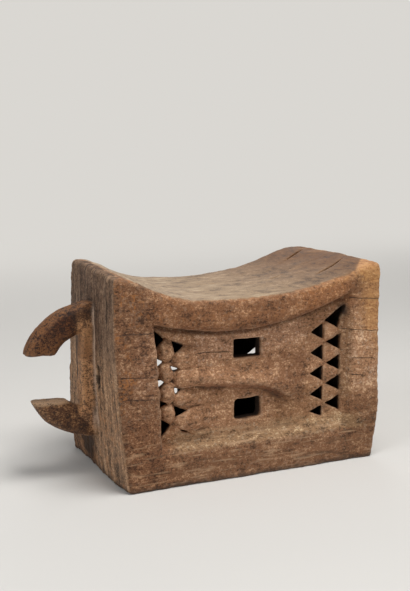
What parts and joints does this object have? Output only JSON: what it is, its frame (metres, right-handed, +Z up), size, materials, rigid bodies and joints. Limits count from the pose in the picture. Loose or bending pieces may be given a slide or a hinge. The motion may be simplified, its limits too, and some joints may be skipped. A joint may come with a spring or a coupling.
{
  "type": "carved wooden stool",
  "caption": "Low stool carved from one block, with a saddle seat, solid ends, pierced panels and an open ring handle on one end.",
  "frame": {"origin": "on the floor plane, at the centre of the overall footprint with the handle included", "axes": "+X to the right along the seat, away from the handle; +Y to the back; +Z up"},
  "size_m": [0.5, 0.224, 0.292],
  "materials": {
    "seat_wood": "worn smooth, open grained",
    "end_wood": "weathered, adzed",
    "frame_wood": "weathered, adzed",
    "panel_wood": "weathered, knife cut",
    "handle_wood": "hand worn"
  },
  "bodies": {
    "root": {"seat": "seat_wood", "left_end_wall": "end_wood", "right_end_wall": "end_wood", "front_sill": "frame_wood", "back_sill": "frame_wood", "front_panel": "panel_wood", "front_left_fretwork": "panel_wood", "front_right_fretwork": "panel_wood", "back_panel": "panel_wood", "back_left_fretwork": "panel_wood", "back_right_fretwork": "panel_wood", "handle_rib": "handle_wood", "upper_horn": "handle_wood", "lower_horn": "handle_wood"}
  },
  "joints": []
}
